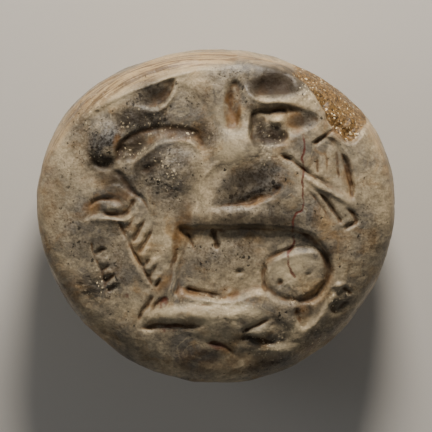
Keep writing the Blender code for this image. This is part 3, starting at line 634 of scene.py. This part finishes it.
def makeStone():
    points, quads, lastRing = plainStone()
    overGirdle = points[:, 2] - stone["girdleHeight"]
    above = overGirdle > 0
    side = 2 * stone["faceRings"] + 1
    faceCount = side**2
    x = points[:, 0] * stone["gridColumns"] / sealSize[0]
    y = points[:, 1] * stone["gridRows"] / sealSize[1]
    hold = ease(overGirdle / (stone["carvingFade"] * (sealSize[2] - stone["girdleHeight"])))
    height, cut, split = np.zeros((3, len(points)))
    height[above], cut[above], split[above] = carving(x[above], y[above], points[above])
    height *= hold
    height[:faceCount] = averaged(height[:faceCount].reshape(side, side), wear["softening"]).reshape(-1)

    # hollows and edges, from how far a point lies under or over the average round it: the hollows take soil
    # and painted shade, the edges wear and a painted highlight
    face = height[:faceCount].reshape(side, side)
    near, wide = np.zeros((2, len(points)))
    for hollow, passes in zip((near, wide), wear["hollowPasses"]):
        hollow[:faceCount] = (averaged(face, passes) - face).reshape(-1)

    # the chip's lower edge is a curve on the side, lowest in the chip's middle; the chip is sunk only
    # well above the girdle, so that the outline holds
    upper = overGirdle > -chipEdge["drop"] - wear["chipRagged"][0]
    chip = np.zeros(len(points))
    chip[upper] = fieldDepth(x[upper] + worn("chipStray", points[upper], 80, 1), y[upper],
                             chipEdge["outline"], 1, chipEdge["wall"])
    across = (np.stack([x, y], -1) - chipEdge["middle"]) @ np.array(chipEdge["way"])
    foot = chipEdge["rise"] * (across / chipEdge["halfLength"])**2 - chipEdge["drop"]
    chip *= ease((overGirdle - foot - worn("chipRagged", points, 84)) / chipEdge["fade"])
    chipHold = ease((overGirdle - chipEdge["sunkFrom"]) / chipEdge["sunkOver"])

    # the side, and the band ground away at the rim
    sideOn = 1 - ease((vertexNormals(points, quads)[:, 2] - wear["sideTilt"][0]) / wear["sideTilt"][1])
    band = np.zeros(len(points))
    band[above] = fieldDepth(x[above], y[above], rimBand["outline"], 1, rimBand["wall"])
    sideOn = np.maximum(sideOn, band)
    height -= stone["carvingDepth"] * rimBand["depth"] * band * hold
    wall = sideOn * ease((points[:, 2] - wear["wallLevels"][0]) / np.diff(wear["wallLevels"]))
    wall *= ease(y / wear["wallFade"] + 0.5)
    # millimetres down over the rim, from which the marks that run round the side are made
    run = points[:, 2] - np.hypot(points[:, 0], points[:, 1] * sealSize[0] / sealSize[1])
    around = np.column_stack([points[:, :2] / wear["striaeLength"], run])
    points[:, 2] += height

    masks = {name: patchShare(x, y, patches) * hold for name, patches in patchLists.items()}
    # brown soil in the cuts, and soil with painted shade in the hollows, darker the farther a point lies
    # under the average round it
    cutSoil, nearSoilAndShade, wideSoilAndShade = wear["soilAndShadeGains"]
    nearWornHighlight, wideWornHighlight = wear["wornAndHighlightGains"]
    masks.update({
        "soilAndShade": np.clip(cut * hold * cutSoil + near * nearSoilAndShade + wide * wideSoilAndShade, 0, 1),
        # edges over the average round them: worn paler, and painted lighter as a highlight
        "worn": np.clip(-near * nearWornHighlight - wide * wideWornHighlight, 0, 1),
        "crack": split * hold, "rimBand": band * hold, "chip": chip, "wall": wall, "run": run * mm,
    })

    # wear, grain and the broken floor of the chip go along the normals; the flat spot stays flat
    normals = vertexNormals(points, quads)
    offset = sum(worn(name, points, seed) for name, seed in (("swell", 3), ("dents", 11), ("grain", 17)))
    offset += chip * chipHold * (worn("broken", points, 23) - stone["chipDepth"])
    offset -= masks["rough"] * np.clip(worn("pitted", points, 29), 0, wear["pitted"][0])
    offset += masks["rough"] * worn("lumpy", points, 37) + sideOn * worn("striae", around, 31)
    points += normals * (offset * ease(points[:, 2] / wear["footFade"]))[:, None]

    # back to the size and place of the box, a hair inside it
    low, high = points.min(0), points.max(0)
    inside = 1 - wear["hair"] / sealSize[:2]
    points[:, :2] = (points[:, :2] - (low + high)[:2] / 2) * sealSize[:2] / (high - low)[:2] * inside
    points[:, :2] += (sealLow + sealHigh)[:2] / 2
    points[:, 2] = points[:, 2] * (sealSize[2] - wear["hair"]) / points[:, 2].max() + sealLow[2]

    mesh = bpy.data.meshes.new("sealStone")
    mesh.from_pydata((points * mm).tolist(), [], quads.tolist() + [[int(k) for k in lastRing[::-1]]])
    for name, values in masks.items():
        mesh.attributes.new(name, "FLOAT", "POINT").data.foreach_set("value", values.astype(np.float32))
    mesh.shade_smooth()
    return putObject("sealStone", mesh)


def makeBoreCutter():
    # a turned profile along X: radius plus a flare that grows as the eighth power towards the mouths
    around, along = 48, 41
    t = np.linspace(-1, 1, along)
    radius = stone["boreDiameter"] / 2 + stone["boreFlare"] * t**8
    a = np.arange(around) * 2 * np.pi / around
    x = np.repeat(t * sealSize[0] * stone["boreReach"], around)
    y = (radius[:, None] * np.cos(a)).reshape(-1)
    z = (radius[:, None] * np.sin(a)).reshape(-1) + stone["boreFloor"] + stone["boreDiameter"] / 2
    index = np.arange(around * along).reshape(along, around)
    turned = np.roll(index, -1, axis=1)
    quads = np.stack([index[:-1], turned[:-1], turned[1:], index[1:]], -1).reshape(-1, 4)
    caps = [index[0, ::-1].tolist(), index[-1].tolist()]
    mesh = bpy.data.meshes.new("boreCutter")
    mesh.from_pydata((np.stack([x, y, z], -1) * mm).tolist(), [], quads.tolist() + caps)
    return putObject("boreCutter", mesh)


def boreThrough(piece, cutter):
    boolean = piece.modifiers.new("bore", "BOOLEAN")
    boolean.operation, boolean.solver, boolean.object = "DIFFERENCE", "EXACT", cutter
    graph = bpy.context.evaluated_depsgraph_get()
    bored = bpy.data.meshes.new_from_object(piece.evaluated_get(graph))
    piece.modifiers.clear()
    piece.data = bored
    bpy.data.objects.remove(cutter)


sealStone = makeStone()
print("stone made,", len(sealStone.data.polygons), "faces")
boreThrough(sealStone, makeBoreCutter())
print("string hole bored,", sum(len(p.vertices) - 2 for p in sealStone.data.polygons), "triangles")


# Veined limestone, ground and polished by hand, then worn and long buried: a soft sheen over cream
# and grey clouds, black mineral specks, brown soil in the cuts, golden crystals where it broke.

limestone = {
    "cream": "beac8c", "creamDark": "777064", "tan": "94713f", "pale": "dccaa4", "greyLight": "7d7c78",
    # the soil colours are brown soil in the cuts and painted shade in the hollows
    "greyDark": "2f2d2b", "speck": "1a1612", "soilAndShade": "62431f", "soilShadeDark": "2b1b0d", "rust": "78501b",
    # the grime colour is grime and painted shade in recesses and on shaded slopes
    "grimeAndShade": "33291c", "red": "5c2216", "chipLight": "9c7843", "chipDark": "301f0e", "glint": "f2e0b8",
    "sideWarm": "c4a67a", "sideLine": "5a3f25",
    "noises": {"clouds": (3.2, 4, 0.0), "tint": (1.8, 4, 0.8), "veins": (2.4, 3, 0.8),
               "mottle": (0.60, 4, 0.0), "salt": (0.17, 2, 0.0), "sheen": (1.2, 4, 0.0),
               "grain": (0.14, 3, 0.0)},            # mm, detail and distortion
    "crystalMm": 0.11, "lineMm": 0.32, "lineStretch": 0.08, "shakenMm": (0.22, 0.4),
    "specks": ((0.42, 0.85), (0.21, 0.80)),         # mm and strength
    "tanShare": 0.55, "veinShare": 0.22, "veinWidth": 0.035,
    "mottleShade": (0.72, 1.15), "saltShade": (0.80, 1.12),
    "wallShare": (0.30, 0.80), "lineEnds": (0.46, 0.66), "lineShare": 0.85,
    "bandShare": 0.75, "bandSharpness": 0.10,       # of the lines on the band ground away
    "greyEnds": (0.30, 0.62), "greyLeast": 0.25, "crowding": 0.40,
    "chipEnds": (0.35, 0.75), "chipShare": 0.94, "glintEnds": (0.94, 0.98),
    "roughness": (0.34, 0.56), "soilDull": 0.3, "ior": 1.46,
    "grainBump": (0.05, 0.7), "pitBump": (0.10, 0.6), "facetBump": (0.12, 0.7),  # mm and strength
}
# Each layer of dirt, stain, painted shade or painted highlight: mask, its low and high ends, size in mm of
# the noise that breaks it up, the noise's low and high ends, colour, and strength
layers = [
    # clean pale stone, with a painted highlight along the crest of the rim
    ("paleAndHighlightStain", 0.0, 1.4, 1.4, 0.25, 0.60, "pale", 0.75),
    ("rustStain", 0.0, 1.0, 0.9, 0.28, 0.60, "rust", 0.72),
    # paler on edges: wear and a painted highlight
    ("worn", 0.25, 1.0, 0.6, 0.30, 0.65, "pale", 0.14),
    # brown soil in the cuts and painted shade in the hollows
    ("soilAndShade", 0.10, 0.70, 0.6, 0.26, 0.60, "soilAndShade", 0.80),
    # painted shade, with some grime, in the recesses and on slopes turned from the light
    ("shadeAndGrimeStain", 0.0, 1.0, 1.1, 0.15, 0.52, "grimeAndShade", 0.80),
    # darkest painted shade in the deepest recesses
    ("shadeAndGrimeStain", 1.0, 1.7, 0.5, 0.20, 0.55, "soilShadeDark", 0.65),
    # darkest soil and painted shade in the deepest cuts and hollows
    ("soilAndShade", 0.50, 0.95, 0.45, 0.36, 0.62, "soilShadeDark", 0.66),
    ("redStain", 0.2, 0.9, 0.5, 0.35, 0.60, "red", 0.70),
    ("crack", 0.25, 0.75, 0.7, 0.32, 0.56, "red", 0.85),
]


def makeLimestone(s):
    material = bpy.data.materials.new("groundLimestone")
    material.use_nodes = True
    tree = material.node_tree
    shader = tree.nodes["Principled BSDF"]
    place = addNode(tree, "TexCoord", "Object", {})
    smooth, colours = {"interpolation_type": "SMOOTHSTEP"}, {"data_type": "RGBA"}

    # value of the noises at their sizes, then the same between their low and high ends
    noise = {name: addNode(tree, "TexNoise", "Fac", {
        "Vector": place, "Scale": 1 / (size * mm), "Detail": detail, "Roughness": 0.6,
        "Distortion": distortion}) for name, (size, detail, distortion) in s["noises"].items()}
    ends = {"clouds": (0.36, 0.64), "tint": (0.48, 0.68), "mottle": (0.34, 0.66), "salt": (0.32, 0.68)}
    share = {name: addNode(tree, "MapRange", "Result", {
        "Value": noise[name], "From Min": low, "From Max": high}, **smooth)
        for name, (low, high) in ends.items()}
    mask = {name: addNode(tree, "Attribute", "Fac", {}, attribute_name=name)
            for name in ("greyStain", "chip", "wall", "rimBand", "rough", "soilAndShade")}

    # the clean stone: cream clouds, tan tints, mottling, pale veins where the noise is near its middle
    # (inputs 6 and 7 of a Mix node are its colours, and output 2 is the mixed colour)
    colour = addNode(tree, "Mix", 2, {0: share["clouds"], 6: linear(s["creamDark"]), 7: linear(s["cream"])},
                     **colours)
    tanShare = addNode(tree, "Math", 0, {0: share["tint"], 1: s["tanShare"]}, operation="MULTIPLY")
    colour = addNode(tree, "Mix", 2, {0: tanShare, 6: colour, 7: linear(s["tan"])}, **colours)
    veins = addNode(tree, "Math", 0, {0: noise["veins"], 1: 0.5, 2: s["veinWidth"]}, operation="COMPARE")
    veinShare = addNode(tree, "Math", 0, {0: veins, 1: s["veinShare"]}, operation="MULTIPLY")
    colour = addNode(tree, "Mix", 2, {0: veinShare, 6: colour, 7: linear(s["pale"])}, **colours)
    for name, (low, high) in (("mottle", s["mottleShade"]), ("salt", s["saltShade"])):
        shade = addNode(tree, "MapRange", "Result", {"Value": share[name], "To Min": low, "To Max": high})
        colour = addNode(tree, "VectorMath", 0, {0: colour, "Scale": shade}, operation="SCALE")

    # the side wall: warmer in patches, with fine brown lines parallel to the rim, which are sharper on
    # the band ground away
    stretch = s["lineStretch"]
    stretched = addNode(tree, "Mapping", 0, {"Vector": place, "Scale": (stretch, stretch, 0.0)})
    run = addNode(tree, "Attribute", "Fac", {}, attribute_name="run")
    down = addNode(tree, "CombineXYZ", 0, {"Z": run})
    stretched = addNode(tree, "VectorMath", 0, {0: stretched, 1: down}, operation="ADD")
    lines = addNode(tree, "TexNoise", "Fac", {"Vector": stretched, "Scale": 1 / (s["lineMm"] * mm),
                    "Detail": 4.0, "Roughness": 0.65, "Distortion": 0.3})
    lineEnd = addNode(tree, "Math", 0, {0: mask["rimBand"], 1: -s["bandSharpness"], 2: s["lineEnds"][1]},
                      operation="MULTIPLY_ADD")
    lineShare = addNode(tree, "MapRange", "Result", {"Value": lines, "From Min": s["lineEnds"][0],
                        "From Max": lineEnd, "To Max": s["lineShare"]}, **smooth)
    wallColour = addNode(tree, "Mix", 2, {0: lineShare, 6: linear(s["sideWarm"]), 7: linear(s["sideLine"])},
                         **colours)
    low, high = s["wallShare"]
    patchy = addNode(tree, "MapRange", "Result", {"Value": share["clouds"], "To Min": low, "To Max": high})
    wallShare = addNode(tree, "Math", 0, {0: mask["wall"], 1: patchy}, operation="MULTIPLY")
    banded = addNode(tree, "Math", 0, {0: mask["rimBand"], 1: s["bandShare"]}, operation="MULTIPLY")
    wallShare = addNode(tree, "Math", 0, {0: wallShare, 1: banded}, operation="MAXIMUM")
    colour = addNode(tree, "Mix", 2, {0: wallShare, 6: colour, 7: wallColour}, **colours)

    # grey patches of fine light and dark grains, broken up by the noise of the tints
    greyColour = addNode(tree, "Mix", 2, {0: share["salt"], 6: linear(s["greyDark"]),
                         7: linear(s["greyLight"])}, **colours)
    low, high = s["greyEnds"]
    patchy = addNode(tree, "MapRange", "Result", {"Value": noise["tint"], "From Min": low, "From Max": high,
                     "To Min": s["greyLeast"]}, **smooth)
    greyShare = addNode(tree, "Math", 0, {0: mask["greyStain"], 1: patchy}, operation="MULTIPLY",
                        use_clamp=True)
    colour = addNode(tree, "Mix", 2, {0: greyShare, 6: colour, 7: greyColour}, **colours)

    # specks: cells of a Voronoi pattern with dark middles, only where the cell's own random value is high,
    # and more of them in the grey patches; the place is shaken by fine noise, so that no speck is round
    size, shake = s["shakenMm"]
    shaken = addNode(tree, "TexNoise", "Color", {"Vector": place, "Scale": 1 / (size * mm), "Detail": 2.0})
    shaken = addNode(tree, "VectorMath", 0, {0: shaken, 1: (shake * mm,) * 3, 2: place},
                     operation="MULTIPLY_ADD")
    for size, strength in s["specks"]:
        middle = addNode(tree, "TexVoronoi", "Distance", {"Vector": shaken, "Scale": 1 / (size * mm)})
        pick = addNode(tree, "SeparateColor", 0, {"Color": middle.node.outputs["Color"]})
        crowded = addNode(tree, "Math", 0, {0: mask["greyStain"], 1: s["crowding"], 2: pick},
                          operation="MULTIPLY_ADD")
        reach = addNode(tree, "MapRange", "Result", {"Value": crowded, "From Min": 0.62, "From Max": 1.2,
                        "To Max": 0.44})
        dot = addNode(tree, "Math", 0, {0: reach, 1: middle}, operation="SUBTRACT")
        speck = addNode(tree, "MapRange", "Result", {"Value": dot, "From Max": 0.16, "To Max": strength},
                        **smooth)
        colour = addNode(tree, "Mix", 2, {0: speck, 6: colour, 7: linear(s["speck"])}, **colours)

    for name, low, high, size, noiseLow, noiseHigh, tint, strength in layers:
        value = addNode(tree, "Attribute", "Fac", {}, attribute_name=name)
        value = addNode(tree, "MapRange", "Result", {"Value": value, "From Min": low, "From Max": high,
                        "To Max": strength}, **smooth)
        breakUp = addNode(tree, "TexNoise", "Fac", {"Vector": place, "Scale": 1 / (size * mm),
                          "Detail": 4.0})
        breakUp = addNode(tree, "MapRange", "Result", {"Value": breakUp, "From Min": noiseLow,
                          "From Max": noiseHigh}, **smooth)
        value = addNode(tree, "Math", 0, {0: value, 1: breakUp}, operation="MULTIPLY", use_clamp=True)
        colour = addNode(tree, "Mix", 2, {0: value, 6: colour, 7: linear(s[tint])}, **colours)

    # the broken edge: each crystal has its own gold under the salt's shade, and a few glint, as they do
    # in the rough patches
    crystal = addNode(tree, "TexVoronoi", "Color", {"Vector": place, "Scale": 1 / (s["crystalMm"] * mm)})
    facet = addNode(tree, "SeparateColor", 1, {"Color": crystal})
    broken = addNode(tree, "Mix", 2, {0: facet, 6: linear(s["chipDark"]), 7: linear(s["chipLight"])},
                     **colours)
    broken = addNode(tree, "VectorMath", 0, {0: broken, "Scale": shade}, operation="SCALE")
    low, high = s["chipEnds"]
    chipShare = addNode(tree, "MapRange", "Result", {"Value": mask["chip"], "From Min": low,
                        "From Max": high, "To Max": s["chipShare"]}, **smooth)
    colour = addNode(tree, "Mix", 2, {0: chipShare, 6: colour, 7: broken}, **colours)
    bare = addNode(tree, "Math", 0, {0: chipShare, 1: mask["rough"]}, operation="MAXIMUM")
    low, high = s["glintEnds"]
    lit = addNode(tree, "MapRange", "Result", {"Value": facet, "From Min": low, "From Max": high})
    glint = addNode(tree, "Math", 0, {0: lit, 1: bare}, operation="MULTIPLY")
    colour = addNode(tree, "Mix", 2, {0: glint, 6: colour, 7: linear(s["glint"])}, **colours)

    # fine grain everywhere, pits in the rough patches and facets on the broken edge
    low, high = s["roughness"]
    roughness = addNode(tree, "MapRange", "Result", {"Value": noise["sheen"], "From Min": 0.3,
                        "From Max": 0.7, "To Min": low, "To Max": high})
    dull = addNode(tree, "Math", 0, {0: mask["soilAndShade"], 1: s["soilDull"], 2: roughness},
                   operation="MULTIPLY_ADD")
    pitted = addNode(tree, "Math", 0, {0: noise["salt"], 1: mask["rough"]}, operation="MULTIPLY")
    facets = addNode(tree, "Math", 0, {0: facet, 1: chipShare}, operation="MULTIPLY")
    normal = {}
    for height, bump in ((noise["grain"], "grainBump"), (pitted, "pitBump"), (facets, "facetBump")):
        distance, strength = s[bump]
        normal = {"Normal": addNode(tree, "Bump", 0, {"Height": height, "Distance": distance * mm,
                                    "Strength": strength, **normal})}
    for socket, value in (("Base Color", colour), ("Roughness", dull), ("Normal", normal["Normal"])):
        tree.links.new(value, shader.inputs[socket])
    shader.inputs["IOR"].default_value = s["ior"]
    return material


sealStone.data.materials.clear()
sealStone.data.materials.append(makeLimestone(limestone))
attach(sealStone, "root")
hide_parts("seal")
print("limestone finish on")


# Floor and lights

studio = {
    "floorColour": "dcd9d3", "floorHalf": 600.0,       # mm
    "lamps": {  # place in mm, width in mm, watts, colour
        "key": ((10.0, 118.0, 72.0), 42.0, 0.27, "fff6ea"),
        "left": ((-150.0, 40.0, 70.0), 80.0, 0.03, "ffffff"),
        "fill": ((-20.0, -160.0, 220.0), 220.0, 0.03, "ffffff"),
    },
    "skyColour": "f3f1ee", "skyStrength": 0.08,
}


def makeFloor(s):
    h = s["floorHalf"] * mm
    mesh = bpy.data.meshes.new("floor")
    mesh.from_pydata([(-h, -h, 0), (h, -h, 0), (h, h, 0), (-h, h, 0)], [], [(0, 1, 2, 3)])
    material = bpy.data.materials.new("mattPaper")
    material.use_nodes = True
    shader = material.node_tree.nodes["Principled BSDF"]
    shader.inputs["Base Color"].default_value = linear(s["floorColour"])
    shader.inputs["Roughness"].default_value = 0.9
    mesh.materials.append(material)
    floor = putObject("floor", mesh)


def makeLamp(name, place, width, watts, tint):
    data = bpy.data.lights.new(name, "AREA")
    data.shape, data.size, data.energy, data.color = "DISK", width * mm, watts, linear(tint)[:3]
    lamp = putObject(name, data)
    lamp.location = np.array(place) * mm
    # an area light shines along its own -Z, so it is turned to face the seal
    x, y, z = np.array(camera["aim"]) - np.array(place)
    lamp.rotation_euler = (math.atan2(math.hypot(x, y), -z), 0, math.atan2(y, x) - math.pi / 2)


makeFloor(studio)
for lampName, lampValues in studio["lamps"].items():
    makeLamp(lampName, *lampValues)
world = bpy.data.worlds.new("studio")
bpy.context.scene.world = world
world.use_nodes = True
sky = world.node_tree.nodes["Background"]
sky.inputs["Color"].default_value = linear(studio["skyColour"])
sky.inputs["Strength"].default_value = studio["skyStrength"]
print("floor and lights set")
